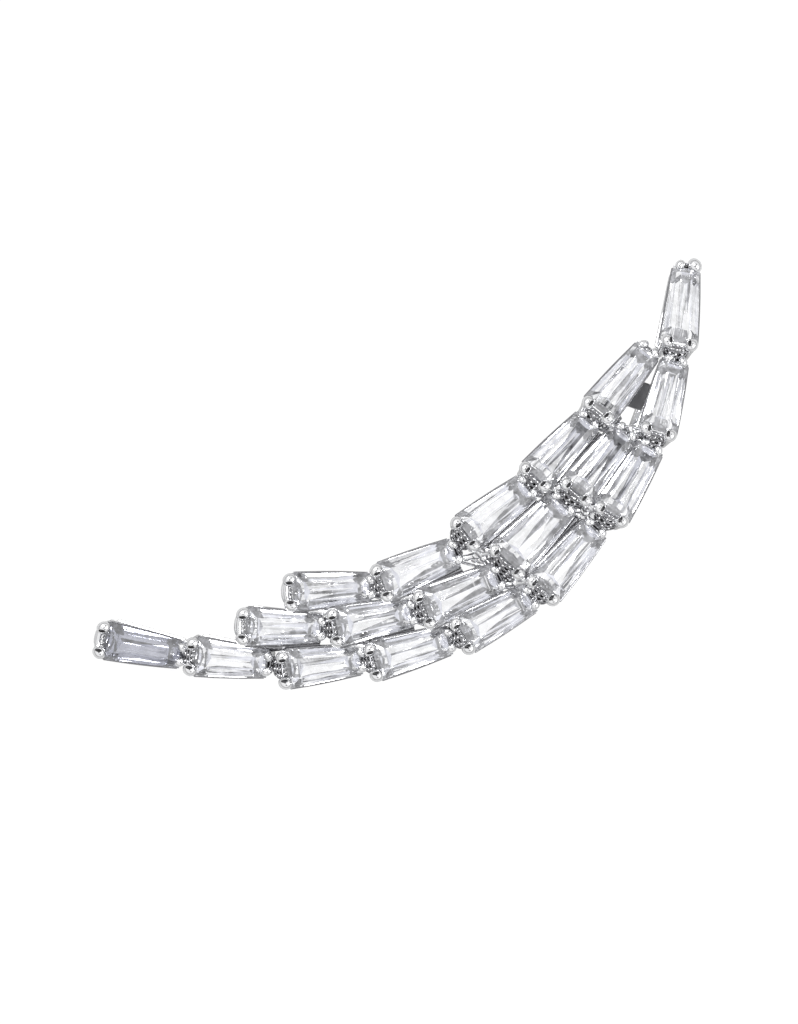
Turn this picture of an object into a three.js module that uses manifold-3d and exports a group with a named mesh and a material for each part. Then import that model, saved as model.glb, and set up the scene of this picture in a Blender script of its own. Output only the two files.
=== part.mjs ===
// A wing-shaped ear cuff: nineteen tapered step-cut stones in three strands of claw settings,
// soldered into one cambered frame, with a plain spring clip behind that wraps the rim of the ear.
// Millimetres, +Z up. The cuff rests face up on the clip's paddle and on the tip of its longest strand.
import * as THREE from "three";
import { mergeVertices } from "three/addons/utils/BufferGeometryUtils.js";
import Module from "manifold-3d";

const wasm = await Module();
wasm.setup();
const { degToRad } = THREE.MathUtils;

// Stones: tapered baguettes, their narrow end this share of their wide end's width.
const TAPER = 0.72;
// Step-cut levels from the table down to the keel: height over the girdle, then how far the
// outline stands in from the girdle at the two ends and along the two sides.
const CUT_LEVELS = [
  { height: 0.42, endInset: 0.62, sideInset: 0.5 },
  { height: 0.24, endInset: 0.28, sideInset: 0.22 },
  { height: 0.03, endInset: 0, sideInset: 0 },
  { height: -0.03, endInset: 0, sideInset: 0 },
  { height: -0.42, endInset: 0.35, sideInset: 0.26 },
  { height: -0.78, endInset: 0.75, sideInset: 0.52 },
];
const KEEL = { height: -1.02, endInset: 1.0, halfWidth: 0.03 };
// The seat cut for a stone, which leaves 0.04 mm or more round it.
const SEAT_LEVELS = [
  { height: 0.48, endInset: 0.48, sideInset: 0.38 },
  { height: 0, endInset: -0.1, sideInset: -0.1 },
  { height: -1.07, endInset: 0.88, sideInset: 0.6 },
];

// Where each stone's middle lies on the wing, seen from the front, with the heading of its
// narrow end in degrees, its length and its width at the wide end. Each strand is numbered
// from its free tip.
const STRANDS = {
  outer: [
    { x: -14.6, y: -9.5, heading: -12, length: 4.45, width: 2.2 },
    { x: -9.6, y: -10.2, heading: -7, length: 4.2, width: 2.25 },
    { x: -4.3, y: -10.45, heading: 6, length: 4.3, width: 2.25 },
    { x: 0.7, y: -9.65, heading: 15, length: 4.4, width: 2.3 },
    { x: 5.5, y: -7.7, heading: 28, length: 4.4, width: 2.35 },
    { x: 9.58, y: -4.44, heading: 48.5, length: 4.65, width: 2.35 },
    { x: 13.1, y: 0.0, heading: 58, length: 4.65, width: 2.25 },
    { x: 15.15, y: 4.8, heading: 74, length: 4.5, width: 2.2 },
    { x: 16.14, y: 10.0, heading: 81.5, length: 4.9, width: 2.18 },
  ],
  middle: [
    { x: -6.6, y: -8.35, heading: -2.5, length: 4.3, width: 2.2 },
    { x: -1.45, y: -7.9, heading: 10.5, length: 4.35, width: 2.3 },
    { x: 3.5, y: -6.4, heading: 23, length: 4.5, width: 2.4 },
    { x: 7.65, y: -2.95, heading: 45.5, length: 4.65, width: 2.65 },
    { x: 11.4, y: 1.05, heading: 50, length: 4.65, width: 2.25 },
  ],
  inner: [
    { x: -3.85, y: -6.2, heading: 3.5, length: 4.45, width: 2.2 },
    { x: 1.1, y: -4.95, heading: 23, length: 4.45, width: 2.35 },
    { x: 5.5, y: -1.7, heading: 37.5, length: 4.5, width: 2.35 },
    { x: 9.2, y: 1.8, heading: 47, length: 4.65, width: 2.25 },
    { x: 12.7, y: 5.7, heading: 50.5, length: 4.9, width: 2.2 },
  ],
};
// The wing is a shallow dome, and on it each stone's wide end stands up like a feather's tip.
const CAMBER = { radiusX: 90, radiusY: 50, topX: 2, topY: -5 };
const FEATHER_PITCH = degToRad(10);

// Settings: two rails under the stone and four claws, two large ones at the wide end.
const BASE_DEPTH = 1.7;
const RAIL = { width: 0.27, thickness: 0.32, inset: 0.02 };
const UPPER_RAIL_TOP = -0.62;
const WIDE_CLAW = { legRadius: 0.27, headRadius: 0.36, headRise: 0.6, sides: 6, inboard: 0.37, outboard: 0.12 };
const NARROW_CLAW = { legRadius: 0.21, headRadius: 0.28, headRise: 0.5, sides: 5, inboard: 0.37, outboard: 0.04 };
const LINK = { width: 0.36, thickness: RAIL.thickness, bite: 0.1 };

// Spring clip: a flat strip soldered across two settings, bent back round the ear's rim,
// ending in a flat paddle that lies against the back of the ear.
const CLIP = { width: 1.6, thickness: 0.6, solderGap: 0.12, bendRadius: 0.8, reach: 3.75, overhang: 0.3 };
const PADDLE_STATIONS = [
  { x: 14.5, y: 4.15, radius: 0.8 },
  { x: 14.1, y: 2.8, radius: 0.9 },
  { x: 12.4, y: 0.1, radius: 1.25 },
  { x: 8.8, y: -3.75, radius: 1.45 },
];
// At rest the wing leans back from the floor by this much, falling away along this heading.
const REST_LEAN = degToRad(9);
const REST_HEADING = degToRad(23.5);

const whiteMetal = new THREE.MeshStandardMaterial({ color: 0xd9dadd, roughness: 0.12, metalness: 1 });
const clearStone = new THREE.MeshStandardMaterial({ color: 0xf4f6f8, roughness: 0.03, metalness: 0 });

// Solids and booleans
function solidOf(geometry) {
  const bare = new THREE.BufferGeometry().setAttribute("position", geometry.getAttribute("position"));
  if (geometry.index) bare.setIndex(geometry.index);
  const merged = mergeVertices(bare, 1e-4);
  const corners = merged.index.array;
  const kept = [];
  for (let i = 0; i < corners.length; i += 3) {
    const [a, b, c] = [corners[i], corners[i + 1], corners[i + 2]];
    if (a !== b && b !== c && c !== a) kept.push(a, b, c);
  }
  const mesh = new wasm.Mesh({
    numProp: 3,
    vertProperties: merged.attributes.position.array,
    triVerts: new Uint32Array(kept),
  });
  return new wasm.Manifold(mesh);
}

function geometryOf(solid) {
  const mesh = solid.getMesh();
  const geometry = new THREE.BufferGeometry();
  geometry.setAttribute("position", new THREE.BufferAttribute(mesh.vertProperties, mesh.numProp));
  geometry.setIndex(new THREE.BufferAttribute(mesh.triVerts, 1));
  geometry.computeVertexNormals();
  return geometry;
}

// A closed solid through rings of four corners, listed from the top down.
function ringLoft(rings) {
  const positions = rings.flat().flatMap((corner) => corner.toArray());
  const last = 4 * (rings.length - 1);
  const index = [0, 1, 2, 0, 2, 3, last, last + 2, last + 1, last, last + 3, last + 2];
  for (let level = 0; level < last; level += 4) {
    for (let side = 0; side < 4; side += 1) {
      const next = (side + 1) % 4;
      index.push(level + side, level + 4 + side, level + 4 + next);
      index.push(level + side, level + 4 + next, level + next);
    }
  }
  const geometry = new THREE.BufferGeometry();
  geometry.setAttribute("position", new THREE.Float32BufferAttribute(positions, 3));
  geometry.setIndex(index);
  geometry.computeVertexNormals();
  return geometry;
}

// The tapered outline, wide end at +X, narrowed by the insets, as four corners at one height.
function halfWidthAt({ length, width }, along) {
  return (width * (1 + TAPER)) / 4 + ((width * (1 - TAPER)) / (2 * length)) * along;
}

function taperedRing(size, { height, endInset, sideInset }) {
  const end = size.length / 2 - endInset;
  const wide = halfWidthAt(size, end) - sideInset;
  const narrow = halfWidthAt(size, -end) - sideInset;
  return [
    new THREE.Vector3(end, wide, height),
    new THREE.Vector3(-end, narrow, height),
    new THREE.Vector3(-end, -narrow, height),
    new THREE.Vector3(end, -wide, height),
  ];
}

function stoneGeometry(size) {
  const rings = CUT_LEVELS.map((level) => taperedRing(size, level));
  const end = size.length / 2 - KEEL.endInset;
  rings.push([
    new THREE.Vector3(end, KEEL.halfWidth, KEEL.height),
    new THREE.Vector3(-end, KEEL.halfWidth, KEEL.height),
    new THREE.Vector3(-end, -KEEL.halfWidth, KEEL.height),
    new THREE.Vector3(end, -KEEL.halfWidth, KEEL.height),
  ]);
  return ringLoft(rings);
}

const seatGeometry = (size) => ringLoft(SEAT_LEVELS.map((level) => taperedRing(size, level)));

// A flat tapered loop of rail, its top at a given height.
function railGeometry(size, top) {
  const corners = (inset) =>
    taperedRing(size, { height: 0, endInset: inset, sideInset: inset }).map((p) => new THREE.Vector2(p.x, p.y));
  const loop = new THREE.Shape(corners(RAIL.inset));
  loop.holes.push(new THREE.Path(corners(RAIL.inset + RAIL.width)));
  const geometry = new THREE.ExtrudeGeometry(loop, { depth: RAIL.thickness, bevelEnabled: false });
  return geometry.translate(0, 0, top - RAIL.thickness);
}

// A claw: a turned leg with a rounded head, standing on the base and reaching over the stone.
function clawGeometry(claw, x, y, girdleHeight) {
  const top = girdleHeight + claw.headRise;
  const profile = [
    new THREE.Vector2(0, -BASE_DEPTH),
    new THREE.Vector2(claw.legRadius, -BASE_DEPTH),
    new THREE.Vector2(claw.legRadius, girdleHeight - claw.headRadius),
    new THREE.Vector2(claw.headRadius, top - claw.headRadius * 0.7),
    new THREE.Vector2(0, top),
  ];
  const geometry = new THREE.LatheGeometry(profile, claw.sides, Math.PI / claw.sides);
  return geometry.rotateX(Math.PI / 2).translate(x, y, 0);
}

// Places on the wing
const wingHeight = (x, y) =>
  -((x - CAMBER.topX) ** 2) / (2 * CAMBER.radiusX) - (y - CAMBER.topY) ** 2 / (2 * CAMBER.radiusY);

// The frame of a setting: +X towards the stone's wide end, +Z out of the wing.
function settingFrame({ x, y, heading }) {
  const slopeX = -(x - CAMBER.topX) / CAMBER.radiusX;
  const slopeY = -(y - CAMBER.topY) / CAMBER.radiusY;
  const [cos, sin] = [Math.cos(degToRad(heading)), Math.sin(degToRad(heading))];
  const outward = new THREE.Vector3(-slopeX, -slopeY, 1).normalize();
  const toWide = new THREE.Vector3(-cos, -sin, -(slopeX * cos + slopeY * sin)).normalize();
  const across = new THREE.Vector3().crossVectors(outward, toWide);
  return new THREE.Matrix4().makeBasis(toWide, across, outward).setPosition(x, y, wingHeight(x, y));
}

const featherTilt = new THREE.Matrix4().makeRotationY(-FEATHER_PITCH);
const settings = Object.entries(STRANDS).flatMap(([strand, rows]) =>
  rows.map((row, i) => {
    const frame = settingFrame(row);
    const stoneFrame = frame.clone().multiply(featherTilt);
    return { ...row, strand, number: i + 1, frame, stoneFrame };
  }),
);
const settingAt = (strand, number) => settings.find((s) => s.strand === strand && s.number === number);

// Points in the middle of a setting's base rail, at its ends and along its two sides.
const railMiddle = RAIL.inset + RAIL.width / 2;
const baseHeight = -BASE_DEPTH + RAIL.thickness / 2;
function endPoint(setting, end) {
  const along = (setting.length / 2 - railMiddle) * (end === "wide" ? 1 : -1);
  return new THREE.Vector3(along, 0, baseHeight).applyMatrix4(setting.frame);
}
function sidePoints(setting) {
  const points = [];
  for (const side of [-1, 1]) {
    for (let share = -0.35; share <= 0.36; share += 0.05) {
      const along = share * setting.length;
      const across = side * (halfWidthAt(setting, along) - railMiddle);
      points.push(new THREE.Vector3(along, across, baseHeight).applyMatrix4(setting.frame));
    }
  }
  return points;
}

// The frame: every setting, and the links that join neighbours
function settingSolid(setting) {
  const { length, width } = setting;
  const rise = (length / 2) * Math.sin(FEATHER_PITCH);
  const parts = [solidOf(railGeometry(setting, -BASE_DEPTH + RAIL.thickness))];
  parts.push(solidOf(railGeometry(setting, UPPER_RAIL_TOP).applyMatrix4(featherTilt)));
  for (const side of [-1, 1]) {
    const wideY = side * (width / 2 - WIDE_CLAW.inboard);
    const narrowY = side * ((width * TAPER) / 2 - NARROW_CLAW.inboard);
    parts.push(solidOf(clawGeometry(WIDE_CLAW, length / 2 + WIDE_CLAW.outboard, wideY, rise)));
    parts.push(solidOf(clawGeometry(NARROW_CLAW, -length / 2 - NARROW_CLAW.outboard, narrowY, -rise)));
  }
  return wasm.Manifold.union(parts).transform(setting.frame.elements);
}

// A short bar from one rail to another.
function linkSolid(from, to) {
  const along = to.clone().sub(from);
  const geometry = new THREE.BoxGeometry(LINK.width, LINK.thickness, along.length() + 2 * LINK.bite);
  const middle = from.clone().lerp(to, 0.5);
  const facing = new THREE.Matrix4().lookAt(to, from, new THREE.Vector3(0, 0, 1));
  return solidOf(geometry.applyMatrix4(facing.setPosition(middle)));
}

function closestLink(a, b) {
  let best = { gap: Infinity };
  for (const from of sidePoints(a)) {
    for (const to of sidePoints(b)) {
      const gap = from.distanceTo(to);
      if (gap < best.gap) best = { gap, from, to };
    }
  }
  return linkSolid(best.from, best.to);
}

function linkSolids() {
  const links = [];
  for (const [strand, rows] of Object.entries(STRANDS)) {
    for (let n = 1; n < rows.length; n += 1) {
      links.push(linkSolid(endPoint(settingAt(strand, n), "narrow"), endPoint(settingAt(strand, n + 1), "wide")));
    }
  }
  for (let n = 1; n <= STRANDS.middle.length; n += 1) {
    links.push(closestLink(settingAt("middle", n), settingAt("outer", n + 2)));
    if (n > 1) links.push(closestLink(settingAt("inner", n - 1), settingAt("middle", n)));
  }
  links.push(linkSolid(endPoint(settingAt("inner", 5), "narrow"), endPoint(settingAt("outer", 9), "wide")));
  links.push(linkSolid(endPoint(settingAt("middle", 5), "narrow"), endPoint(settingAt("outer", 8), "wide")));
  return links;
}

function frameMesh() {
  const metal = wasm.Manifold.union([...settings.map(settingSolid), ...linkSolids()]);
  const seats = settings.map((s) => solidOf(seatGeometry(s).applyMatrix4(s.stoneFrame)));
  const mesh = new THREE.Mesh(geometryOf(metal.subtract(wasm.Manifold.union(seats))), whiteMetal);
  mesh.name = "setting_frame";
  return mesh;
}

function stoneMesh(setting) {
  const mesh = new THREE.Mesh(stoneGeometry(setting), clearStone);
  mesh.name = `stone_${setting.strand}_${setting.number}`;
  mesh.applyMatrix4(setting.stoneFrame);
  return mesh;
}

// The wing as it lies: leaned back, its lowest point on the floor
const wing = new THREE.Group();
wing.add(frameMesh(), ...settings.map(stoneMesh));
wing.setRotationFromAxisAngle(
  new THREE.Vector3(-Math.sin(REST_HEADING), Math.cos(REST_HEADING), 0),
  -REST_LEAN,
);
wing.position.z = -new THREE.Box3().setFromObject(wing, true).min.z;
wing.updateMatrixWorld(true);
const rest = wing.matrixWorld;

// The point at a height over the floor that lies straight behind a point of the wing's front.
function behind(x, y, height) {
  const m = rest.elements;
  const z = (height - m[14] - m[2] * x - m[6] * y) / m[10];
  return new THREE.Vector3(x, y, z).applyMatrix4(rest);
}

// The clip: a bent strip and a paddle, fused
function stripSolid() {
  const under = (setting) =>
    new THREE.Vector3(0, 0, -BASE_DEPTH).applyMatrix4(setting.frame).applyMatrix4(rest);
  const inner = under(settingAt("inner", 5));
  const outer = under(settingAt("outer", 8));
  const spacing = Math.hypot(outer.x - inner.x, outer.y - inner.y);
  // In the strip's own upright plane, u runs from the inner setting to the outer one and v is up.
  const half = CLIP.thickness / 2;
  const slope = Math.atan2(inner.z - outer.z, spacing);
  const away = new THREE.Vector2(Math.sin(slope), Math.cos(slope));
  const start = new THREE.Vector2(0, inner.z - CLIP.solderGap - half);
  const tip = start.clone().addScaledVector(new THREE.Vector2(-away.y, away.x), CLIP.overhang);
  const bendU = CLIP.reach - half - CLIP.bendRadius;
  const upperBendV = (away.dot(start) - CLIP.bendRadius - away.x * bendU) / away.y;
  const lowerBendV = half + CLIP.bendRadius;
  const offset = (point, by) => point.clone().addScaledVector(away, by);
  const strip = new THREE.Shape([offset(tip, half)]);
  strip.absarc(bendU, upperBendV, CLIP.bendRadius + half, Math.PI / 2 - slope, 0, true);
  strip.absarc(bendU, lowerBendV, CLIP.bendRadius + half, 0, -Math.PI / 2, true);
  strip.absarc(bendU, lowerBendV, CLIP.bendRadius - half, -Math.PI / 2, 0, false);
  strip.absarc(bendU, upperBendV, CLIP.bendRadius - half, 0, Math.PI / 2 - slope, false);
  strip.lineTo(offset(tip, -half).x, offset(tip, -half).y);
  const geometry = new THREE.ExtrudeGeometry(strip, {
    depth: CLIP.width,
    bevelEnabled: false,
    curveSegments: 8,
  });
  const alongU = new THREE.Vector3((outer.x - inner.x) / spacing, (outer.y - inner.y) / spacing, 0);
  const up = new THREE.Vector3(0, 0, 1);
  const acrossU = new THREE.Vector3().crossVectors(alongU, up);
  const place = new THREE.Matrix4().makeBasis(alongU, up, acrossU);
  geometry.translate(0, 0, -CLIP.width / 2);
  return solidOf(geometry.applyMatrix4(place.setPosition(inner.x, inner.y, 0)));
}

// A flat plate round two circles and their outer tangents, as thick as the strip.
function plateSolid(from, to) {
  const a = behind(from.x, from.y, 0);
  const b = behind(to.x, to.y, 0);
  const heading = Math.atan2(b.y - a.y, b.x - a.x);
  const spread = Math.acos((from.radius - to.radius) / Math.hypot(b.x - a.x, b.y - a.y));
  const outline = new THREE.Shape();
  outline.absarc(a.x, a.y, from.radius, heading + spread, heading - spread, false);
  outline.absarc(b.x, b.y, to.radius, heading - spread, heading + spread, false);
  const geometry = new THREE.ExtrudeGeometry(outline, {
    depth: CLIP.thickness,
    bevelEnabled: false,
    curveSegments: 10,
  });
  return solidOf(geometry);
}

function clipMesh() {
  const plates = PADDLE_STATIONS.slice(1).map((station, i) => plateSolid(PADDLE_STATIONS[i], station));
  const mesh = new THREE.Mesh(geometryOf(wasm.Manifold.union([stripSolid(), ...plates])), whiteMetal);
  mesh.name = "ear_clip";
  return mesh;
}

const earCuff = new THREE.Group();
earCuff.name = "ear_cuff";
earCuff.add(wing, clipMesh());
earCuff.updateMatrixWorld(true);
const bounds = new THREE.Box3().setFromObject(earCuff, true);
const middle = bounds.getCenter(new THREE.Vector3());
earCuff.position.set(-middle.x, -middle.y, -bounds.min.z);

export default earCuff;
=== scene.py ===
"""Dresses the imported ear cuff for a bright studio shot: polished white-metal claws, gallery rails
and links, a smooth spring clip, and clear tapered step-cut stones. Lengths are in millimetres
until they reach a mesh, which is in metres in the row frame."""

import math

import bmesh
import bpy
import numpy as np
from mathutils import Matrix, Vector


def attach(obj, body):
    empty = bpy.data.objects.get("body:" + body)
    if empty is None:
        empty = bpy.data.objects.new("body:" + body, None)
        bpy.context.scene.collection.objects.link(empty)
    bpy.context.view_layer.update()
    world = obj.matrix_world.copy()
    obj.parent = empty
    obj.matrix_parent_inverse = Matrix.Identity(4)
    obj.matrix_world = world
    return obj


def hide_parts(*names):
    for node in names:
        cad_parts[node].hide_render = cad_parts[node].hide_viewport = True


MM = 0.001

# How the wing lies in the row frame: turned by the lean about a level axis, with its own
# origin at this place. The photograph looks straight along the wing's own -Z.
REST_LEAN = math.radians(9)
REST_HEADING = math.radians(23.5)
WING_ORIGIN = Vector((-0.2871, -0.506, 6.8941))
VIEW_CENTRE = Vector((-0.0565, -1.808, 0.0))
VIEW_HEIGHT = 57.86
SENSOR = 36.0
LENS = 200.0
NEAREST_SEEN, FARTHEST_SEEN = 0.01, 10

# The settings, as the solids have them.
FEATHER_PITCH = math.radians(10)
STONE_TAPER = 0.72
BASE_DEPTH = 1.7
RAIL_INSET = 0.02
RAIL_WIDTH = 0.27
BASE_RAIL_THICKNESS = 0.32
STRAND_LENGTHS = {"outer": 9, "middle": 5, "inner": 5}
# A stone's corners are counted from the table down, four to a level. The girdle's start here.
CORNERS = 4
GIRDLE_START = 2 * CORNERS
# Two triangles whose normals' dot product is above this belong to one facet.
SAME_FACET = 0.9999

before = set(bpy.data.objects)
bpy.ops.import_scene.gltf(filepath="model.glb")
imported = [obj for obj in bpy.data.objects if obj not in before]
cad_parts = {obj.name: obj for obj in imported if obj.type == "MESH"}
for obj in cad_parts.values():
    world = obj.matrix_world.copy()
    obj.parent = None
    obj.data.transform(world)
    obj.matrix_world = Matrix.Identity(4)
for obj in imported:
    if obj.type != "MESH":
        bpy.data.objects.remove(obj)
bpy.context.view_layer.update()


# Node trees
def add(tree, kind, inputs=None, **settings):
    """A node with its properties and inputs set. An input given as a socket is linked."""
    node = tree.nodes.new(kind)
    for name, value in settings.items():
        setattr(node, name, value)
    for name, value in (inputs or {}).items():
        socket = node.inputs[name]
        if isinstance(value, bpy.types.NodeSocket):
            tree.links.new(value, socket)
        else:
            socket.default_value = value
    return node


def group_tree(name, kind, inputs, outputs):
    """A node group with named sockets: the tree, its input node's sockets and its output node."""
    tree = bpy.data.node_groups.new(name, kind)
    for label, socket, default in inputs:
        made = tree.interface.new_socket(label, in_out="INPUT", socket_type=socket)
        if default is not None:
            made.default_value = default
    for label, socket in outputs:
        tree.interface.new_socket(label, in_out="OUTPUT", socket_type=socket)
    return tree, tree.nodes.new("NodeGroupInput").outputs, tree.nodes.new("NodeGroupOutput")


def grown(source, tree, values, name):
    """The mesh that a Geometry Nodes tree makes of an object, as a new object at the origin."""
    modifier = source.modifiers.new("shape", "NODES")
    modifier.node_group = tree
    for item in tree.interface.items_tree:
        if item.in_out == "INPUT" and item.name in values:
            modifier[item.identifier] = values[item.name]
    bpy.context.view_layer.update()
    evaluated = source.evaluated_get(bpy.context.evaluated_depsgraph_get())
    mesh = bpy.data.meshes.new_from_object(evaluated)
    bpy.data.objects.remove(source)
    mesh.name = name
    made = bpy.data.objects.new(name, mesh)
    bpy.context.scene.collection.objects.link(made)
    return made


def wire_source(wires, closed=False):
    """A curve object of poly splines. Each wire is a list of (point, radius) in millimetres."""
    curve = bpy.data.curves.new("wires", "CURVE")
    curve.dimensions = "3D"
    for wire in wires:
        spline = curve.splines.new("POLY")
        spline.points.add(len(wire) - 1)
        spline.use_cyclic_u = closed
        for target, (point, radius) in zip(spline.points, wire):
            target.co = (*(point * MM), 1)
            target.radius = radius * MM
    source = bpy.data.objects.new("wires", curve)
    bpy.context.scene.collection.objects.link(source)
    return source


def point_source(rows):
    """A mesh of loose points with the attributes turn (Euler angles) and size (metres)."""
    mesh = bpy.data.meshes.new("points")
    mesh.from_pydata([row["at"] * MM for row in rows], [], [])
    for name in ("turn", "size"):
        layer = mesh.attributes.new(name, "FLOAT_VECTOR", "POINT")
        for item, row in zip(layer.data, rows):
            item.vector = row[name]
    source = bpy.data.objects.new("points", mesh)
    bpy.context.scene.collection.objects.link(source)
    return source


GEOMETRY = "NodeSocketGeometry"


def finish_tree(tree, shape, metal, out):
    """Smooth shading, real meshes in place of instances, and the metal."""
    smooth = add(tree, "GeometryNodeSetShadeSmooth", {"Geometry": shape, "Shade Smooth": True})
    real = add(tree, "GeometryNodeRealizeInstances", {"Geometry": smooth.outputs[0]})
    painted = add(tree, "GeometryNodeSetMaterial", {"Geometry": real.outputs[0], "Material": metal})
    tree.links.new(painted.outputs[0], out.inputs[0])


def drawn_wire_tree():
    """Smooth round wire along each spline, as thick as the spline's radius says."""
    tree, given, out = group_tree(
        "drawn_wire",
        "GeometryNodeTree",
        [
            ("Wires", GEOMETRY, None),
            ("Rings", "NodeSocketInt", 12),
            ("Sides", "NodeSocketInt", 12),
            ("Metal", "NodeSocketMaterial", None),
        ],
        [("Geometry", GEOMETRY)],
    )
    smooth = add(
        tree, "GeometryNodeCurveSplineType", {"Curve": given["Wires"]}, spline_type="CATMULL_ROM"
    )
    even = add(
        tree, "GeometryNodeResampleCurve", {"Curve": smooth.outputs[0], "Count": given["Rings"]}
    )
    section = add(
        tree, "GeometryNodeCurvePrimitiveCircle", {"Resolution": given["Sides"], "Radius": 1.0}
    )
    radius = add(tree, "GeometryNodeInputRadius")
    swept = add(
        tree,
        "GeometryNodeCurveToMesh",
        {
            "Curve": even.outputs[0],
            "Profile Curve": section.outputs["Curve"],
            "Scale": radius.outputs[0],
            "Fill Caps": True,
        },
    )
    finish_tree(tree, swept.outputs[0], given["Metal"], out)
    return tree


def rail_tree():
    """A flat rail with rounded edges along each closed spline, its corners turned on a radius."""
    tree, given, out = group_tree(
        "gallery_rail",
        "GeometryNodeTree",
        [
            ("Loops", GEOMETRY, None),
            ("Width", "NodeSocketFloat", 0.00027),
            ("Thickness", "NodeSocketFloat", 0.0003),
            ("Corner", "NodeSocketFloat", 0.0002),
            ("Edge", "NodeSocketFloat", 0.00006),
            ("Metal", "NodeSocketMaterial", None),
        ],
        [("Geometry", GEOMETRY)],
    )
    rounded = add(
        tree,
        "GeometryNodeFilletCurve",
        {"Curve": given["Loops"], "Count": 5, "Radius": given["Corner"], "Limit Radius": True},
        mode="POLY",
    )
    upright = add(tree, "GeometryNodeSetCurveNormal", {"Curve": rounded.outputs[0]}, mode="Z_UP")
    section = add(
        tree,
        "GeometryNodeCurvePrimitiveQuadrilateral",
        {"Width": given["Width"], "Height": given["Thickness"]},
    )
    soft = add(
        tree,
        "GeometryNodeFilletCurve",
        {"Curve": section.outputs[0], "Count": 3, "Radius": given["Edge"], "Limit Radius": True},
        mode="POLY",
    )
    swept = add(
        tree,
        "GeometryNodeCurveToMesh",
        {"Curve": upright.outputs[0], "Profile Curve": soft.outputs[0]},
    )
    finish_tree(tree, swept.outputs[0], given["Metal"], out)
    return tree


def bead_tree():
    """A round bead on each point, stretched and turned as its attributes say."""
    tree, given, out = group_tree(
        "claw_bead",
        "GeometryNodeTree",
        [
            ("Points", GEOMETRY, None),
            ("Segments", "NodeSocketInt", 20),
            ("Rings", "NodeSocketInt", 12),
            ("Metal", "NodeSocketMaterial", None),
        ],
        [("Geometry", GEOMETRY)],
    )
    bead = add(
        tree,
        "GeometryNodeMeshUVSphere",
        {"Segments": given["Segments"], "Rings": given["Rings"], "Radius": 1.0},
    )
    turn = add(tree, "GeometryNodeInputNamedAttribute", {"Name": "turn"}, data_type="FLOAT_VECTOR")
    angles = add(tree, "FunctionNodeEulerToRotation", {"Euler": turn.outputs["Attribute"]})
    size = add(tree, "GeometryNodeInputNamedAttribute", {"Name": "size"}, data_type="FLOAT_VECTOR")
    placed = add(
        tree,
        "GeometryNodeInstanceOnPoints",
        {
            "Points": given["Points"],
            "Instance": bead.outputs["Mesh"],
            "Rotation": angles.outputs[0],
            "Scale": size.outputs["Attribute"],
        },
    )
    finish_tree(tree, placed.outputs[0], given["Metal"], out)
    return tree


# Finishes
def grey(level):
    return (level, level, level, 1)


def ramp(tree, value, start, end, low, high):
    """A value mapped smoothly from one range to another and held at the ends."""
    spans = {"Value": value, "From Min": start, "From Max": end, "To Min": low, "To Max": high}
    return add(tree, "ShaderNodeMapRange", spans, interpolation_type="SMOOTHSTEP").outputs[0]


def reckon(tree, operation, a, b=0.0):
    return add(tree, "ShaderNodeMath", {0: a, 1: b}, operation=operation).outputs[0]


def blend(tree, share, first, second, how="MIX"):
    """Two colours, mixed by a share from the first to the second."""
    inputs = {"Factor": share, 6: first, 7: second}
    return add(tree, "ShaderNodeMix", inputs, data_type="RGBA", blend_type=how).outputs[2]


def noise(tree, place, scale, detail, roughness=0.5):
    inputs = {"Vector": place, "Scale": scale, "Detail": detail, "Roughness": roughness}
    return add(tree, "ShaderNodeTexNoise", inputs).outputs[0]


HAIRLINE_HEIGHT = 0.01


def surface_group():
    """Fine handling marks: a soft change of shade, uneven gloss and a hairline bump."""
    tree, given, out = group_tree(
        "hand_finish",
        "ShaderNodeTree",
        [
            ("Light shade", "NodeSocketColor", (1, 1, 1, 1)),
            ("Deep shade", "NodeSocketColor", (0.9, 0.9, 0.9, 1)),
            ("Patch scale", "NodeSocketFloat", 600.0),
            ("Hairline scale", "NodeSocketFloat", 9000.0),
            ("Glossiest", "NodeSocketFloat", 0.05),
            ("Dullest", "NodeSocketFloat", 0.15),
            ("Hairline depth", "NodeSocketFloat", 0.1),
        ],
        [
            ("Shade", "NodeSocketColor"),
            ("Roughness", "NodeSocketFloat"),
            ("Normal", "NodeSocketVector"),
        ],
    )
    place = add(tree, "ShaderNodeTexCoord").outputs["Object"]
    patches = noise(tree, place, given["Patch scale"], 3.0, 0.55)
    hairlines = noise(tree, place, given["Hairline scale"], 2.0)
    shade = blend(tree, patches, given["Light shade"], given["Deep shade"])
    gloss = add(
        tree,
        "ShaderNodeMapRange",
        {"Value": patches, "To Min": given["Glossiest"], "To Max": given["Dullest"]},
    )
    bump = add(
        tree,
        "ShaderNodeBump",
        {
            "Strength": given["Hairline depth"],
            "Distance": HAIRLINE_HEIGHT * MM,
            "Height": hairlines,
        },
    )
    tree.links.new(shade, out.inputs["Shade"])
    tree.links.new(gloss.outputs[0], out.inputs["Roughness"])
    tree.links.new(bump.outputs[0], out.inputs["Normal"])
    return tree


# The noise values between which the specks of painted glow go from faint to bright.
SPECK_EDGES = (0.43, 0.57)


def painted_glow_group():
    """Painted glow: uneven specks of emitted light in the stones, in place of the light caught between
    their facets.
    """
    tree, given, out = group_tree(
        "painted_glow",
        "ShaderNodeTree",
        [
            ("Speck scale", "NodeSocketFloat", 1800.0),
            ("Faint", "NodeSocketColor", (0.03, 0.03, 0.035, 1)),
            ("Bright", "NodeSocketColor", (0.93, 0.94, 1.0, 1)),
        ],
        [("Glow", "NodeSocketColor")],
    )
    place = add(tree, "ShaderNodeTexCoord").outputs["Object"]
    specks = noise(tree, place, given["Speck scale"], 2.0)
    bright = ramp(tree, specks, *SPECK_EDGES, 0.0, 1.0)
    glow = blend(tree, bright, given["Faint"], given["Bright"])
    tree.links.new(glow, out.inputs["Glow"])
    return tree
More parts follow.
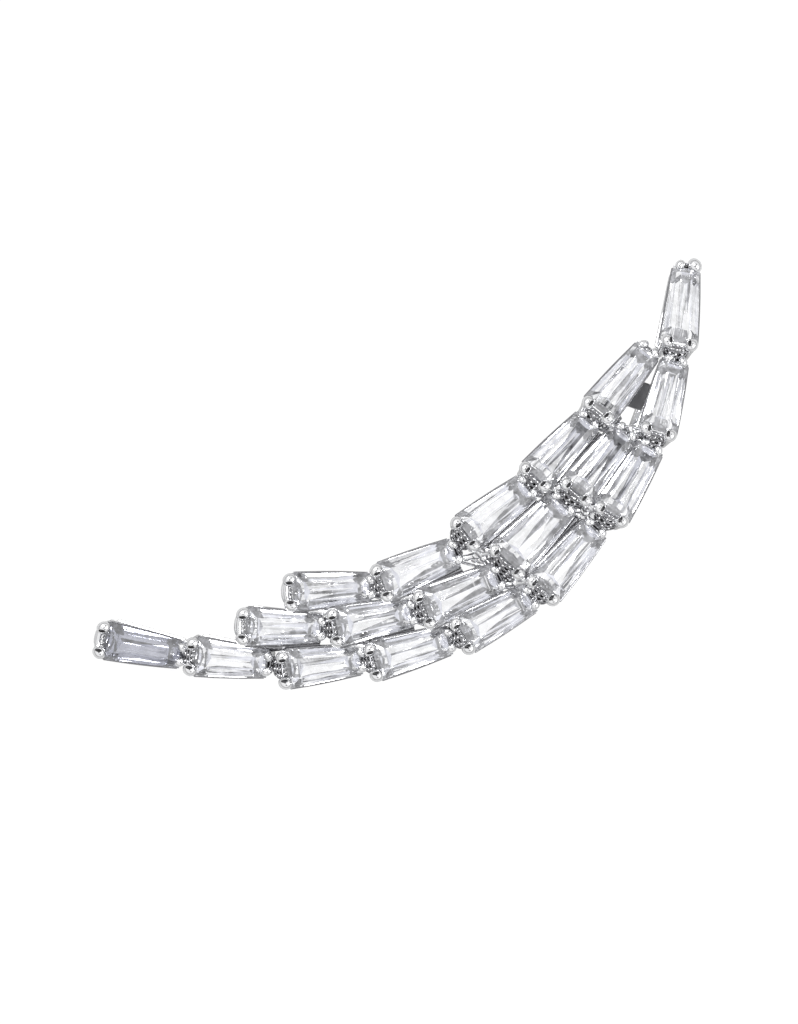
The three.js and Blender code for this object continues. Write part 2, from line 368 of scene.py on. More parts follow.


# Polished metals: the two shades that their patches run between, how fine the patches are, how
# glossy they are at best and at worst, and how deep the hairlines are. All but the white metal are
# darker copies of it with painted shade in their colour, and the near-black one also paints the
# claws' dark reflections.
METALS = {
    "white_metal": {
        "shades": ((0.9, 0.9, 0.91, 1), (0.74, 0.745, 0.76, 1)),
        "patches": 600.0, "gloss": (0.04, 0.14), "hairlines": 0.12,
    },
    # Painted shade: a darker copy of the white metal for the end walls, which lie in shade deep in the
    # basket.
    "painted_shade_metal": {
        "shades": ((0.55, 0.55, 0.57, 1), (0.13, 0.13, 0.14, 1)),
        "patches": 2600.0, "gloss": (0.06, 0.2), "hairlines": 0.2,
    },
    # Near-black: the painted dark reflections on the claws and the painted shade behind the end walls.
    "painted_dark_metal": {
        "shades": ((0.05, 0.05, 0.053, 1), (0.02, 0.02, 0.021, 1)),
        "patches": 600.0, "gloss": (0.3, 0.5), "hairlines": 0.1,
    },
    # Painted shade: a darker copy for the clip's strip where it lies in shade under the stones.
    "painted_shade_seat": {
        "shades": ((0.36, 0.36, 0.37, 1), (0.07, 0.07, 0.075, 1)),
        "patches": 900.0, "gloss": (0.25, 0.4), "hairlines": 0.1,
    },
    # Painted shade: a darker copy for the side rails and the spacers, so that they draw grey lines beside
    # and between the stones.
    "painted_shade_rail_metal": {
        "shades": ((0.36, 0.36, 0.375, 1), (0.2, 0.2, 0.21, 1)),
        "patches": 600.0, "gloss": (0.2, 0.3), "hairlines": 0.05,
    },
}
# The stones' shades and the strength of their painted glow, which stands in for light caught
# between their facets. The darker one is painted shade, for stones that lie at an angle which
# leaves them greyer than the others.
STONES = {
    "clear_stone": {"shades": ((1.0, 1.0, 1.0, 1), (0.955, 0.96, 0.975, 1)), "glow": 0.078},
    # Painted shade: a darker stone for the ones whose angle leaves them greyer.
    "painted_shade_stone": {"shades": ((0.52, 0.53, 0.6, 1), (0.26, 0.27, 0.34, 1)), "glow": 0.05},
}
STONE_POLISH = {"patches": 250.0, "gloss": (0.0, 0.012), "hairlines": 0.02}
STONE_IOR = 2.42


def finished_material(name, row, plain):
    """A Principled material: the finish group with a row's values, and plain numbers."""
    material = bpy.data.materials.new(name)
    material.use_nodes = True
    tree = material.node_tree
    shader = tree.nodes["Principled BSDF"]
    for label, value in plain.items():
        shader.inputs[label].default_value = value
    values = {
        "Light shade": row["shades"][0],
        "Deep shade": row["shades"][1],
        "Patch scale": row["patches"],
        "Glossiest": row["gloss"][0],
        "Dullest": row["gloss"][1],
        "Hairline depth": row["hairlines"],
    }
    finish = add(tree, "ShaderNodeGroup", node_tree=hand_finish)
    for label, value in values.items():
        finish.inputs[label].default_value = value
    tree.links.new(finish.outputs["Shade"], shader.inputs["Base Color"])
    tree.links.new(finish.outputs["Roughness"], shader.inputs["Roughness"])
    tree.links.new(finish.outputs["Normal"], shader.inputs["Normal"])
    return material


def stone_material(name, row):
    # Painted glow: a faint emission in place of the light caught between the facets.
    plain = {"IOR": STONE_IOR, "Transmission Weight": 1.0, "Emission Strength": row["glow"]}
    material = finished_material(name, {**row, **STONE_POLISH}, plain)
    tree = material.node_tree
    glow = add(tree, "ShaderNodeGroup", node_tree=painted_glow).outputs["Glow"]
    tree.links.new(glow, tree.nodes["Principled BSDF"].inputs["Emission Color"])
    return material


hand_finish = surface_group()
painted_glow = painted_glow_group()
metals = {name: finished_material(name, row, {"Metallic": 1.0}) for name, row in METALS.items()}
stones = {name: stone_material(name, row) for name, row in STONES.items()}


# Where the settings are
def facets(mesh):
    """Each flat facet's outward normal and area, from a mesh of triangles."""
    found = []
    for polygon in mesh.polygons:
        for facet in found:
            if facet["normal"].dot(polygon.normal) > SAME_FACET:
                facet["area"] += polygon.area
                break
        else:
            found.append({"normal": polygon.normal.copy(), "area": polygon.area})
    return found


def stone_setting(name):
    """A stone's frame, +X to its wide end and +Z out of its table, and its size, from its mesh."""
    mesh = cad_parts[name].data
    outward = max(facets(mesh), key=lambda facet: facet["area"])["normal"]
    corners = {tuple(round(c / MM, 3) for c in vertex.co) for vertex in mesh.vertices}
    downward = sorted((Vector(corner) for corner in corners), key=lambda p: -p.dot(outward))
    upper = downward[GIRDLE_START : GIRDLE_START + CORNERS]
    lower = downward[GIRDLE_START + CORNERS : GIRDLE_START + 2 * CORNERS]
    first = upper[0]
    partner = min(upper[1:], key=lambda other: (other - first).length)
    others = [corner for corner in upper if corner not in (first, partner)]
    ends = sorted(((first, partner), others), key=lambda pair: (pair[0] - pair[1]).length)
    narrow, wide = [(pair[0] + pair[1]) / 2 for pair in ends]
    drop = (sum(upper, Vector()) - sum(lower, Vector())) / (2 * CORNERS)
    x_axis = (wide - narrow).normalized()
    y_axis = outward.cross(x_axis).normalized()
    stone_frame = Matrix((x_axis, y_axis, x_axis.cross(y_axis))).transposed().to_4x4()
    stone_frame.translation = (narrow + wide) / 2 - drop
    return {
        "stone_frame": stone_frame,
        "frame": stone_frame @ Matrix.Rotation(FEATHER_PITCH, 4, "Y"),
        "length": (wide - narrow).length,
        "width": (ends[1][0] - ends[1][1]).length,
    }


# Each setting by strand and number. A strand's first one is free at its wide end, and the
# longest strand's last one makes the point at the wing's upper end.
settings = {
    (strand, number): {
        **stone_setting(f"stone_{strand}_{number}"),
        "free": number == 1,
        "tip": (strand, number) == ("outer", STRAND_LENGTHS["outer"]),
    }
    for strand, count in STRAND_LENGTHS.items()
    for number in range(1, count + 1)
}


def half_width(setting, along):
    length, width = setting["length"], setting["width"]
    return width * (1 + STONE_TAPER) / 4 + width * (1 - STONE_TAPER) / (2 * length) * along


def outline(setting, inset):
    """The tapered outline's four corners in the setting's own plane, moved in by the inset."""
    end = setting["length"] / 2 - inset
    wide, narrow = half_width(setting, end) - inset, half_width(setting, -end) - inset
    return [(end, wide), (-end, narrow), (-end, -narrow), (end, -wide)]


def of_strand(strand):
    return [setting for (own, _), setting in settings.items() if own == strand]


# Metalwork
# The claws: the radius of the leg and of the head, the head's length for its radius, how high it
# rises over the stone's edge, and how far in from the corner and out from the end it stands.
CLAWS = {
    "wide": {"leg": 0.22, "head": 0.375, "long": 1.1, "rise": 0.6, "inboard": 0.37, "outboard": 0.12},
    "narrow": {"leg": 0.15, "head": 0.25, "long": 1.3, "rise": 0.43, "inboard": 0.37, "outboard": 0.04},
    "tip, right": {"leg": 0.2, "head": 0.42, "long": 1.1, "rise": 0.5, "inboard": 0.34, "outboard": 0.2},
    "tip, left": {"leg": 0.15, "head": 0.27, "long": 1.2, "rise": 0.43, "inboard": 0.36, "outboard": 0.08},
}
# A claw's leg, from its foot on the base rail up into its head: how far it runs out of the end and
# aside, and its radius for the claw's. Its middle points lie at these heights.
LEG_PATH = [
    {"out": 0.0, "aside": 0.0, "thick": 1.0},
    {"out": 0.04, "aside": 0.03, "thick": 0.95},
    {"out": 0.05, "aside": 0.03, "thick": 1.05},
    {"out": 0.01, "aside": 0.0, "thick": 1.25},
]
LEG_MIDDLES = (-0.75, -0.2)
FOOT_OVER_BASE = 0.03
LEG_TOP_IN_HEAD = 1.1
# A claw's head: how far it leans over the stone and inwards; how deep its middle lies under its
# top, its breadth and its height, for its radius; and its turn.
HEAD = {
    "lean": 0.03, "inward": 0.01, "depth": 0.95, "broad": 0.97, "tall": 0.92,
    "turn": math.radians(-35),
}
# A painted reflection on each wide claw's inner side: a small near-black bead sunk into the head, for the
# dark slit that the polished head reflects.
PAINTED_REFLECTION = {"inward": 0.17, "size": (0.2, 0.1, 0.07)}


def claw_places(setting):
    """Each claw's row and end, its place at the girdle's height in the setting's frame, and the
    signs of its end and of its side."""
    rise = setting["length"] / 2 * math.sin(FEATHER_PITCH)
    for end, sign in (("wide", 1), ("narrow", -1)):
        for side in (1, -1):
            claw = CLAWS[end]
            if setting["tip"] and end == "narrow":
                claw = CLAWS["tip, right" if side > 0 else "tip, left"]
            across = setting["width"] * (1 if end == "wide" else STONE_TAPER) / 2 - claw["inboard"]
            along = sign * (setting["length"] / 2 + claw["outboard"])
            yield claw, end, Vector((along, side * across, sign * rise)), sign, side


def claw_wires(setting):
    """Claw legs that rise from the base rail and lean in over the stone's corner."""
    wires = []
    for claw, _, girdle, sign, side in claw_places(setting):
        foot = -BASE_DEPTH + FOOT_OVER_BASE - girdle.z
        top = claw["rise"] - claw["head"] * LEG_TOP_IN_HEAD
        line = []
        for row, height in zip(LEG_PATH, (foot, *LEG_MIDDLES, top)):
            offset = Vector((sign * row["out"], side * row["aside"], height))
            line.append((setting["frame"] @ (girdle + offset), claw["leg"] * row["thick"]))
        wires.append(line)
    return wires


def claw_heads(setting):
    """The rounded heads of the claws, drawn out a little towards the stone's middle."""
    heads = []
    for claw, _, girdle, sign, side in claw_places(setting):
        head = claw["head"]
        height = claw["rise"] - head * HEAD["depth"]
        offset = Vector((-sign * HEAD["lean"], -side * HEAD["inward"], height))
        turn = Matrix.Rotation(HEAD["turn"] * sign * side, 3, "Z")
        heads.append({
            "at": setting["frame"] @ (girdle + offset),
            "turn": (setting["stone_frame"].to_3x3() @ turn).to_euler(),
            "size": Vector((claw["long"], HEAD["broad"], HEAD["tall"])) * head * MM,
        })
    return heads


def claw_painted_reflections(setting):
    """Painted dark reflections: small near-black beads sunk into the heads of the wide claws."""
    painted_reflections = []
    for claw, end, girdle, sign, side in claw_places(setting):
        if end == "narrow":
            continue
        head = claw["head"]
        over_middle = math.sqrt(head**2 - PAINTED_REFLECTION["inward"] ** 2) * HEAD["tall"]
        height = claw["rise"] - head * HEAD["depth"] + over_middle
        offset = Vector((-sign * HEAD["lean"], -side * PAINTED_REFLECTION["inward"], height))
        turn = Matrix.Rotation(side * math.asin(PAINTED_REFLECTION["inward"] / head), 3, "X")
        painted_reflections.append({
            "at": setting["frame"] @ (girdle + offset),
            "turn": (setting["stone_frame"].to_3x3() @ turn).to_euler(),
            "size": Vector(PAINTED_REFLECTION["size"]) * MM,
        })
    return painted_reflections


# The basket wall between the two claws of each end: bars at these depths under the girdle,
# bulging this far beyond the end, with crossed ribs and small beads between them.
END_BARS = {
    "wide": [
        {"depth": 0.12, "bulge": 0.1, "radius": 0.06},
        {"depth": 0.4, "bulge": 0.3, "radius": 0.05},
        {"depth": 0.7, "bulge": 0.5, "radius": 0.05},
        {"depth": 1.0, "bulge": 0.68, "radius": 0.05},
    ],
    "narrow": [
        {"depth": 0.15, "bulge": 0.08, "radius": 0.055},
        {"depth": 0.5, "bulge": 0.2, "radius": 0.055},
        {"depth": 0.85, "bulge": 0.28, "radius": 0.055},
    ],
}
# A bar from claw to claw: how far across it each point lies, and its share of the bulge.
BAR_SHAPE = [(-1.0, 0.1), (-0.72, 0.72), (-0.3, 1.0), (0.3, 1.0), (0.72, 0.72), (1.0, 0.1)]
RIB_RADIUS = 0.04
WALL_BEAD = 0.085
# A strand's first setting has two smooth bars at its wide end, which bulge less.
FREE_BULGE = 0.8
FREE_BARS = [
    {"depth": 0.12, "bulge": 0.3, "radius": 0.16},
    {"depth": 0.4, "bulge": 0.5, "radius": 0.14},
]
# Rows of small beads just outside the stone's wide end.
GALLERY_ROWS = [
    {"depth": 0.22, "radius": 0.1, "count": 5},
    {"depth": 0.5, "radius": 0.1, "count": 6},
]
GALLERY_SPAN = (0.12, 0.88)
# Painted shade: a near-black lining behind the bars, for the shade deep inside the basket.
PAINTED_SHADE_LININGS = {
    "wide": {"depth": 0.9, "bulge": 0.36, "radius": 0.24},
    "narrow": {"depth": 0.8, "bulge": 0.0, "radius": 0.18},
}
PAINTED_SHADE_SPAN = 0.8


def round_bead(at, radius):
    return {"at": at, "turn": (0, 0, 0), "size": Vector((1, 1, 1)) * radius * MM}


def wall_line(setting, end, sign, depth, bulge, span=1.0):
    """A line across one end from claw to claw, bulging outwards, so far under the girdle."""
    reach = FREE_BULGE if setting["free"] and end == "wide" else 1.0
    places = claw_places(setting)
    at = next(at for _, which, at, _, side in places if which == end and side > 0)
    return [
        setting["frame"] @ Vector((at.x + sign * bulge * reach * out, at.y * share * span, at.z - depth))
        for share, out in BAR_SHAPE
    ]


def walled_ends(setting):
    """The ends that have a basket wall, with their signs: all but a strand's free wide end."""
    return [("narrow", -1)] if setting["free"] else [("wide", 1), ("narrow", -1)]


def end_walls(setting):
    """The bars and crossed ribs of a setting's end walls, and the places of their beads."""
    wires, beads = [], []
    for end, sign in walled_ends(setting):
        rows = END_BARS[end]
        bars = [wall_line(setting, end, sign, row["depth"], row["bulge"]) for row in rows]
        wires += [[(point, row["radius"]) for point in bar] for row, bar in zip(rows, bars)]
        for upper, lower in zip(bars, bars[1:]):
            for a in range(len(BAR_SHAPE) - 1):
                wires.append([(upper[a], RIB_RADIUS), (lower[a + 1], RIB_RADIUS)])
                wires.append([(upper[a + 1], RIB_RADIUS), (lower[a], RIB_RADIUS)])
                beads.append((upper[a] + upper[a + 1] + lower[a] + lower[a + 1]) / 4)
    return wires, beads


def free_walls(setting):
    """The smooth bars across the free wide end of a strand's first setting."""
    if not setting["free"]:
        return []
    return [
        [(point, bar["radius"]) for point in wall_line(setting, "wide", 1, bar["depth"], bar["bulge"])]
        for bar in FREE_BARS
    ]


def gallery_beads(setting):
    beads = []
    for row in GALLERY_ROWS:
        line = wall_line(setting, "wide", 1, row["depth"], 0.0)
        for share in np.linspace(*GALLERY_SPAN, row["count"]):
            beads.append(round_bead(line[0].lerp(line[-1], share), row["radius"]))
    return beads


# Painted shade: a near-black lining behind each walled end.
def painted_shade_linings(setting):
    wires = []
    for end, sign in walled_ends(setting):
        row = PAINTED_SHADE_LININGS[end]
        line = wall_line(setting, end, sign, row["depth"], row["bulge"], PAINTED_SHADE_SPAN)
        wires.append([(point, row["radius"]) for point in line])
    return wires


# Rails and links
RAIL_MIDDLE = RAIL_INSET + RAIL_WIDTH / 2
BASE_RAIL_HEIGHT = -BASE_DEPTH + BASE_RAIL_THICKNESS / 2
UPPER_RAIL_HEIGHT = -0.78
UPPER_RAIL_WIDTH = 0.85 * RAIL_WIDTH
UPPER_RAIL_THICKNESS = 0.24
LINK_RADIUS = 0.16
# A thin rail along each side of a stone: it bulges beyond the stone and stops short of its ends.
SIDE_RAIL = {"radius": 0.07, "height": -0.1, "beyond": 0.04, "short": 0.12}
SIDE_RAIL_SHARES = (-1, -0.33, 0.33, 1)
# The spacer bars that close the gaps between two strands.
SPACER = {"depth": 0.3, "widest_gap": 1.3, "thinnest": 0.05, "thickest": 0.3}
SPACER_SAMPLES = {"own": 9, "facing": 40}
# Short curved links from the claws of one strand to the nearest ones of the next.
CORNER = {
    "depth": 0.45, "nearest": 0.5, "farthest": 2.4, "radius": 0.2, "bead": 0.26, "sag": 0.15,
    "links": 2,
}
NEIGHBOURS = (("inner", "middle"), ("middle", "outer"))
# Where along its length a side rail may be joined to another.
JOINABLE = np.arange(-0.35, 0.36, 0.05)


def rail_loop(setting, plane, height):
    """A closed loop inside the stone's outline, in the plane of the setting or of the stone."""
    corners = outline(setting, RAIL_MIDDLE)
    return [(setting[plane] @ Vector((x, y, height)), 1.0) for x, y in corners]


def side_wires(setting):
    """A thin rail along each side of the stone, just outside and under its girdle."""
    wires = []
    for side in (1, -1):
        line = []
        for share in SIDE_RAIL_SHARES:
            along = share * (setting["length"] / 2 - SIDE_RAIL["short"])
            beyond = SIDE_RAIL["beyond"] if abs(share) < 1 else 0
            across = side * (half_width(setting, along) + beyond)
            point = setting["stone_frame"] @ Vector((along, across, SIDE_RAIL["height"]))
            line.append((point, SIDE_RAIL["radius"]))
        wires.append(line)
    return wires


def end_point(setting, sign):
    along = sign * (setting["length"] / 2 - RAIL_MIDDLE)
    return setting["frame"] @ Vector((along, 0, BASE_RAIL_HEIGHT))


def side_points(setting):
    points = []
    for side in (-1, 1):
        for share in JOINABLE:
            along = share * setting["length"]
            across = side * (half_width(setting, along) - RAIL_MIDDLE)
            points.append(setting["frame"] @ Vector((along, across, BASE_RAIL_HEIGHT)))
    return points


def bridge(a, b):
    """The two closest points of two settings' side rails."""
    pairs = [(p, q) for p in side_points(a) for q in side_points(b)]
    return min(pairs, key=lambda pair: (pair[0] - pair[1]).length)


def link_ends():
    """The pairs of points that the soldered links join: along each strand, from the middle
    strand's sides to its neighbours', and from the shorter strands' last settings to the longest
    strand."""
    pairs = []
    for strand, count in STRAND_LENGTHS.items():
        for n in range(1, count):
            pairs.append((end_point(settings[strand, n], -1), end_point(settings[strand, n + 1], 1)))
    for n in range(1, STRAND_LENGTHS["middle"] + 1):
        pairs.append(bridge(settings["middle", n], settings["outer", n + 2]))
        if n > 1:
            pairs.append(bridge(settings["inner", n - 1], settings["middle", n]))
    pairs.append((end_point(settings["inner", 5], -1), end_point(settings["outer", 9], 1)))
    pairs.append((end_point(settings["middle", 5], -1), end_point(settings["outer", 8], 1)))
    return pairs


def link_wires():
    return [
        [(start, LINK_RADIUS), ((start + end) / 2, LINK_RADIUS), (end, LINK_RADIUS)]
        for start, end in link_ends()
    ]


def girdle_side(setting, side, samples):
    """Points along one side of a stone, just outside its girdle and as deep as the spacers."""
    points = []
    for share in np.linspace(-0.5, 0.5, samples):
        along = share * setting["length"]
        across = side * (half_width(setting, along) + SIDE_RAIL["beyond"])
        points.append(setting["stone_frame"] @ Vector((along, across, -SPACER["depth"])))
    return points


def spacer_wires():
    """Bars along the middle of the gap between each strand and the next, as wide as the gap."""
    wires = []
    for strand, next_strand in NEIGHBOURS:
        facing = [
            point
            for setting in of_strand(next_strand)
            for side in (1, -1)
            for point in girdle_side(setting, side, SPACER_SAMPLES["facing"])
        ]
        for setting in of_strand(strand):
            for side in (1, -1):
                line = []
                for point in girdle_side(setting, side, SPACER_SAMPLES["own"]):
                    nearest = min(facing, key=lambda other: (other - point).length)
                    gap = (nearest - point).length
                    if gap < SPACER["widest_gap"]:
                        radius = min(max(gap / 2, SPACER["thinnest"]), SPACER["thickest"])
                        line.append(((point + nearest) / 2 - Vector((0, 0, radius)), radius))
                if len(line) > 2:
                    wires.append(line)
    return wires


def claw_feet(strand):
    """Where the strand's claws stand, a little under the stones' edges."""
    return [
        setting["frame"] @ (girdle - Vector((0, 0, CORNER["depth"])))
        for setting in of_strand(strand)
        for _, _, girdle, _, _ in claw_places(setting)
    ]


def corner_links():
    """The wires of the short curved links and the bead on the middle of each."""
    wires, beads = [], []
    for strand, next_strand in NEIGHBOURS:
        facing = claw_feet(next_strand)
        for foot in claw_feet(strand):
            closest = sorted(facing, key=lambda point: (point - foot).length)
            for other in closest[: CORNER["links"]]:
                if CORNER["nearest"] < (other - foot).length < CORNER["farthest"]:
                    middle = (foot + other) / 2 - Vector((0, 0, CORNER["sag"]))
                    wires.append([(point, CORNER["radius"]) for point in (foot, middle, other)])
                    beads.append(round_bead(middle, CORNER["bead"]))
    return wires, beads


def metal_piece(name, source, tree, values, metal="white_metal"):
    piece = grown(source, tree, {**values, "Metal": metals[metal]}, name)
    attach(piece, "root")
    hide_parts("setting_frame")


def wire_piece(name, wires, rings, sides, metal="white_metal"):
    metal_piece(name, wire_source(wires), wire_shape, {"Rings": rings, "Sides": sides}, metal)


def bead_piece(name, rows, segments, rings, metal="white_metal"):
    faces = {"Segments": segments, "Rings": rings}
    metal_piece(name, point_source(rows), bead_shape, faces, metal)


def rail_piece(name, plane, height, width, thickness):
    loops = [rail_loop(setting, plane, height) for setting in settings.values()]
    section = {"Width": width * MM, "Thickness": thickness * MM}
    metal_piece(name, wire_source(loops, closed=True), rail_shape, section)


def for_all(maker):
    """What a maker gives for each setting, in one list."""
    return [item for setting in settings.values() for item in maker(setting)]


wire_shape = drawn_wire_tree()
rail_shape = rail_tree()
bead_shape = bead_tree()
walls = [end_walls(setting) for setting in settings.values()]
wall_wires = [line for wires, _ in walls for line in wires]
wall_beads = [round_bead(at, WALL_BEAD) for _, places in walls for at in places]
corner_wires, corner_beads = corner_links()
wire_piece("claw_legs", for_all(claw_wires), rings=10, sides=12)
bead_piece("claw_heads", for_all(claw_heads), segments=20, rings=12)
# The claws' black slits are painted reflections, in a near-black metal.
bead_piece("claw_painted_reflections", for_all(claw_painted_reflections), segments=14, rings=8, metal="painted_dark_metal")
# Painted shade behind the end walls, in a near-black metal.
wire_piece("wall_painted_shade", for_all(painted_shade_linings), rings=8, sides=10, metal="painted_dark_metal")
# The end walls' darker metal is painted shade.
wire_piece("end_walls", wall_wires, rings=7, sides=7, metal="painted_shade_metal")
bead_piece("wall_beads", wall_beads, segments=8, rings=6)
bead_piece("gallery_beads", for_all(gallery_beads), segments=8, rings=6)
wire_piece("free_walls", for_all(free_walls), rings=10, sides=12)
# The spacers' darker metal is painted shade.
wire_piece("spacers", spacer_wires(), rings=14, sides=10, metal="painted_shade_rail_metal")
wire_piece("corner_links", corner_wires, rings=8, sides=10)
bead_piece("corner_beads", corner_beads, segments=14, rings=9)
# The side rails' darker metal is painted shade.
wire_piece("side_rails", for_all(side_wires), rings=10, sides=8, metal="painted_shade_rail_metal")
rail_piece("base_rails", "frame", BASE_RAIL_HEIGHT, RAIL_WIDTH, BASE_RAIL_THICKNESS)
rail_piece("upper_rails", "stone_frame", UPPER_RAIL_HEIGHT, UPPER_RAIL_WIDTH, UPPER_RAIL_THICKNESS)
wire_piece("links", link_wires(), rings=6, sides=12)


# The spring clip: its edges' radius and how many faces round them, and the angles over which an
# edge is rounded, under which it is shaded smooth and under which it is no edge at all.
CLIP_EDGE = {
    "radius": 0.12, "segments": 3, "rounded_over": math.radians(35),
    "smooth_under": math.radians(30), "flat_under": math.radians(1),
}
WELD_DISTANCE = 1e-7
# The strip that is soldered under the settings lies above this height. Its upper face, which
# points up at least this much, carries painted shade: a darker metal for the shade it lies in under the
# stones.
PAINTED_SHADE_ON_SEAT = {"above": 4.9, "upward": 0.7}
# The stones that get the darker, painted-shade stone material.
PAINTED_SHADE_STONES = [("outer", 1)]


def smooth_clip():
    """The spring clip with its edges rounded."""
    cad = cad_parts["ear_clip"]
    mesh = cad.data.copy()
    mesh.name = "spring_clip"
    build = bmesh.new()
    build.from_mesh(mesh)
    bmesh.ops.remove_doubles(build, verts=build.verts, dist=WELD_DISTANCE)
    bmesh.ops.dissolve_limit(
        build, angle_limit=CLIP_EDGE["flat_under"], verts=build.verts, edges=build.edges
    )
    build.to_mesh(mesh)
    build.free()
    clip = bpy.data.objects.new("spring_clip", mesh)
    bpy.context.scene.collection.objects.link(clip)
    edges = clip.modifiers.new("edges", "BEVEL")
    edges.width = CLIP_EDGE["radius"] * MM
    edges.segments = CLIP_EDGE["segments"]
    edges.limit_method = "ANGLE"
    edges.angle_limit = CLIP_EDGE["rounded_over"]
    bpy.context.view_layer.update()
    evaluated = clip.evaluated_get(bpy.context.evaluated_depsgraph_get())
    clip.data = bpy.data.meshes.new_from_object(evaluated)
    clip.modifiers.clear()
    clip.data.shade_smooth()
    clip.data.set_sharp_from_angle(angle=CLIP_EDGE["smooth_under"])
    clip.data.materials.clear()
    clip.data.materials.append(metals["white_metal"])
    clip.data.materials.append(metals["painted_shade_seat"])
    # Painted shade on the strip's high, upward faces.
    for polygon in clip.data.polygons:
        high = polygon.center.z > PAINTED_SHADE_ON_SEAT["above"] * MM
        polygon.material_index = 1 if high and polygon.normal.z > PAINTED_SHADE_ON_SEAT["upward"] else 0
    return clip


clip = smooth_clip()
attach(clip, "root")
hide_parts("ear_clip")

for strand, number in settings:
    cut = stones["painted_shade_stone" if (strand, number) in PAINTED_SHADE_STONES else "clear_stone"]
    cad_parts[f"stone_{strand}_{number}"].material_slots[0].material = cut


# Studio
def through_stone(tree, seen):
    """1 for a ray that has passed through a stone on its way."""
    return reckon(tree, "GREATER_THAN", seen.outputs["Transmission Depth"], 0.5)


def wing_turn():
    axis = Vector((-math.sin(REST_HEADING), math.cos(REST_HEADING), 0))
    return Matrix.Rotation(-REST_LEAN, 4, axis)


def build_camera():
    data = bpy.data.cameras.new("camera")
    data.lens = LENS
    data.sensor_width = SENSOR
    data.clip_start, data.clip_end = NEAREST_SEEN, FARTHEST_SEEN
    camera = bpy.data.objects.new("camera", data)
    bpy.context.scene.collection.objects.link(camera)
    distance = VIEW_HEIGHT * LENS / SENSOR
    turn = wing_turn()
    place = WING_ORIGIN + turn @ (VIEW_CENTRE + Vector((0, 0, distance)))
    camera.matrix_world = Matrix.Translation(place * MM) @ turn
    bpy.context.scene.camera = camera


# The floor's shade, and as the polished metal sees it, and how much of it glows for what looks
# at it through a stone and for the camera. It is two metres wide and lies a hair under the object.
FLOOR = {
    "pale": 0.75, "in_metal": 0.4, "glow": 1.03, "stone_share": 0.85, "camera_share": 0.94,
    "roughness": 0.9, "width": 2, "drop": 0.02,
}


def build_floor():
    bpy.ops.mesh.primitive_plane_add(size=FLOOR["width"], location=(0, 0, -FLOOR["drop"] * MM))
    floor = bpy.context.object
    floor.name = "floor"
    material = bpy.data.materials.new("pale_floor")
    material.use_nodes = True
    tree = material.node_tree
    shader = tree.nodes["Principled BSDF"]
    shader.inputs["Roughness"].default_value = FLOOR["roughness"]
    glow = add(tree, "ShaderNodeEmission", {"Color": grey(1), "Strength": FLOOR["glow"]})
    seen = add(tree, "ShaderNodeLightPath")
    shade = ramp(tree, seen.outputs["Is Glossy Ray"], 0.0, 1.0, FLOOR["pale"], FLOOR["in_metal"])
    tree.links.new(shade, shader.inputs["Base Color"])
    in_stone = reckon(tree, "MULTIPLY", through_stone(tree, seen), FLOOR["stone_share"])
    by_camera = reckon(tree, "MULTIPLY", seen.outputs["Is Camera Ray"], FLOOR["camera_share"])
    mixed = add(tree, "ShaderNodeMixShader", {"Fac": reckon(tree, "MAXIMUM", in_stone, by_camera)})
    tree.links.new(shader.outputs[0], mixed.inputs[1])
    tree.links.new(glow.outputs[0], mixed.inputs[2])
    tree.links.new(mixed.outputs[0], tree.nodes["Material Output"].inputs["Surface"])
    floor.data.materials.append(material)


# Black cards in the white studio: the direction each stands in, the heading of its long side, its
# half width and half length, all in degrees, and how bright it is. The first is the opening that
# the camera looks through.
CARDS = [
    {"azimuth": -66.5, "elevation": 81, "heading": 75, "half_width": 8, "half_length": 11, "level": 0.02},
    {"azimuth": -131, "elevation": 67, "heading": 0, "half_width": 7, "half_length": 7, "level": 0.06},
    {"azimuth": 150, "elevation": 58, "heading": 0, "half_width": 6, "half_length": 12, "level": 0.05},
    {"azimuth": 15, "elevation": 50, "heading": 0, "half_width": 6, "half_length": 12, "level": 0.08},
]
# Where a card's soft edge ends, for its half width, and a place that is outside every card.
CARD_EDGE = 1.3
FAR_OUTSIDE = 100.0
# The tent's walls are dimmer towards the table's edge.
HORIZON = {"level": 0.4, "top": 0.55}
# What the stones see: a sky a little blue overhead, with folds and seams that show as streaks.
SKY = {"from": 0.6, "to": 0.9, "side": 0.84, "overhead": (0.63, 0.64, 0.71, 1)}
FOLDS = {"scale": 7.0, "detail": 3.0, "darkest": 0.55, "from": 0.38, "to": 0.46}
SEAMS = {"scale": 4.0, "detail": 2.0, "darkest": 0.08, "half_width": 0.016}


def direction(row):
    azimuth, elevation = math.radians(row["azimuth"]), math.radians(row["elevation"])
    across = math.cos(elevation)
    return Vector((math.sin(azimuth) * across, -math.cos(azimuth) * across, math.sin(elevation)))


def dot(tree, toward, axis):
    inputs = {0: toward, 1: axis}
    return add(tree, "ShaderNodeVectorMath", inputs, operation="DOT_PRODUCT").outputs["Value"]


def card_shade(tree, toward, card):
    """1 outside a card and its level inside: an ellipse of directions with a soft edge."""
    centre = direction(card)
    heading = math.radians(card["heading"])
    level_line = Vector((math.cos(heading), math.sin(heading), 0))
    long_side = (level_line - centre * level_line.dot(centre)).normalized()
    short_side = centre.cross(long_side)
    squares = []
    for side, half in ((long_side, card["half_length"]), (short_side, card["half_width"])):
        share = reckon(tree, "MULTIPLY", dot(tree, toward, side), 1 / math.sin(math.radians(half)))
        squares.append(reckon(tree, "MULTIPLY", share, share))
    behind = reckon(tree, "LESS_THAN", dot(tree, toward, centre), 0.0)
    away = reckon(tree, "MULTIPLY", behind, FAR_OUTSIDE)
    spread = reckon(tree, "ADD", reckon(tree, "ADD", *squares), away)
    return ramp(tree, spread, 1.0, CARD_EDGE, card["level"], 1.0)


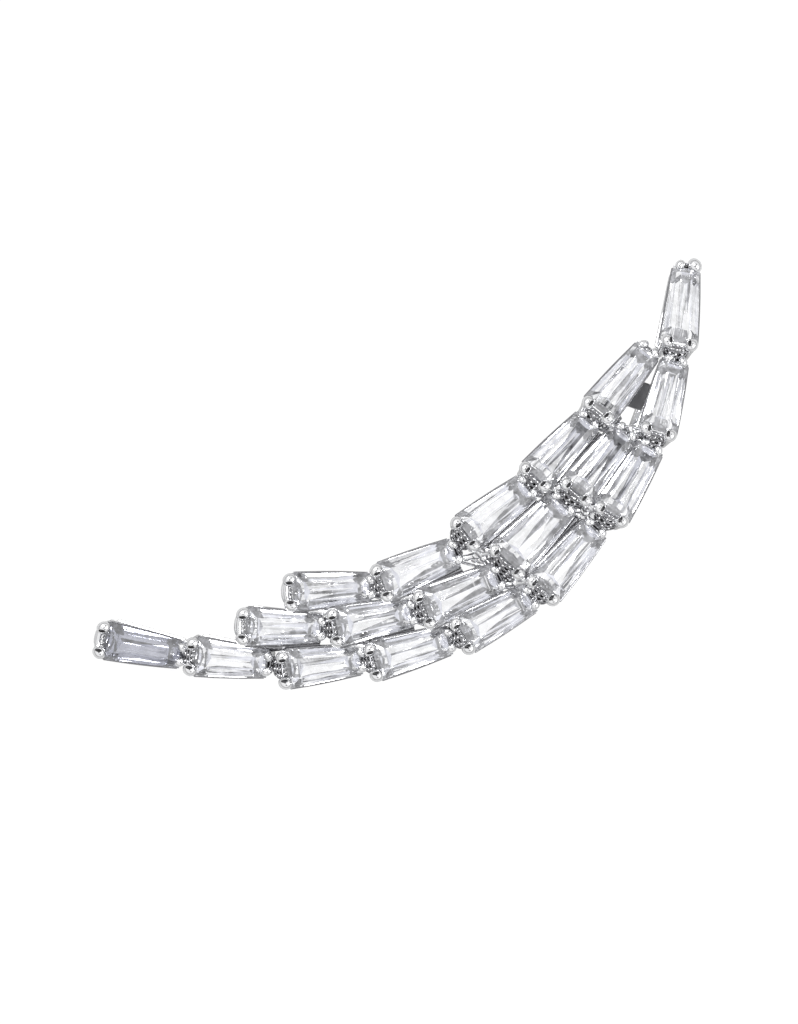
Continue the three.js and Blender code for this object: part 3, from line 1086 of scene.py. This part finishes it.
def build_world():
    """White for the camera, a tent with black cards for the metal, and a soft sky for the stones."""
    world = bpy.data.worlds.new("studio")
    world.use_nodes = True
    bpy.context.scene.world = world
    tree = world.node_tree
    toward = add(tree, "ShaderNodeTexCoord").outputs["Generated"]
    height = add(tree, "ShaderNodeSeparateXYZ", {"Vector": toward}).outputs["Z"]
    metal = ramp(tree, height, 0.0, HORIZON["top"], HORIZON["level"], 1.0)
    for card in CARDS:
        metal = reckon(tree, "MULTIPLY", metal, card_shade(tree, toward, card))
    soft = noise(tree, toward, FOLDS["scale"], FOLDS["detail"])
    folds = ramp(tree, soft, FOLDS["from"], FOLDS["to"], FOLDS["darkest"], 1.0)
    crossing = noise(tree, toward, SEAMS["scale"], SEAMS["detail"])
    distance = reckon(tree, "ABSOLUTE", reckon(tree, "SUBTRACT", crossing, 0.5))
    seams = ramp(tree, distance, 0.0, SEAMS["half_width"], SEAMS["darkest"], 1.0)
    overhead = ramp(tree, height, SKY["from"], SKY["to"], 0.0, 1.0)
    sky = blend(tree, overhead, grey(SKY["side"]), SKY["overhead"])
    streaked = blend(tree, 1.0, sky, reckon(tree, "MULTIPLY", folds, seams), "MULTIPLY")
    seen = add(tree, "ShaderNodeLightPath")
    lit = blend(tree, through_stone(tree, seen), metal, streaked)
    shown = blend(tree, seen.outputs["Is Camera Ray"], lit, grey(1))
    tree.links.new(shown, tree.nodes["Background"].inputs["Color"])


# Soft boxes: where they stand round the object, their size in metres and their power in watts.
SOFT_BOXES = [
    {"azimuth": -140, "elevation": 55, "distance": 0.5, "size": 0.22, "power": 2.2},
    {"azimuth": 75, "elevation": 50, "distance": 0.5, "size": 0.16, "power": 1.4},
]


def build_lights():
    for number, box in enumerate(SOFT_BOXES, 1):
        data = bpy.data.lights.new(f"soft_box_{number}", "AREA")
        data.shape = "SQUARE"
        data.size = box["size"]
        data.energy = box["power"]
        light = bpy.data.objects.new(data.name, data)
        bpy.context.scene.collection.objects.link(light)
        turn = direction(box).to_track_quat("Z", "Y").to_matrix().to_4x4()
        light.matrix_world = Matrix.Translation(direction(box) * box["distance"]) @ turn


build_camera()
build_floor()
build_world()
build_lights()
bpy.context.scene.view_settings.view_transform = "Standard"
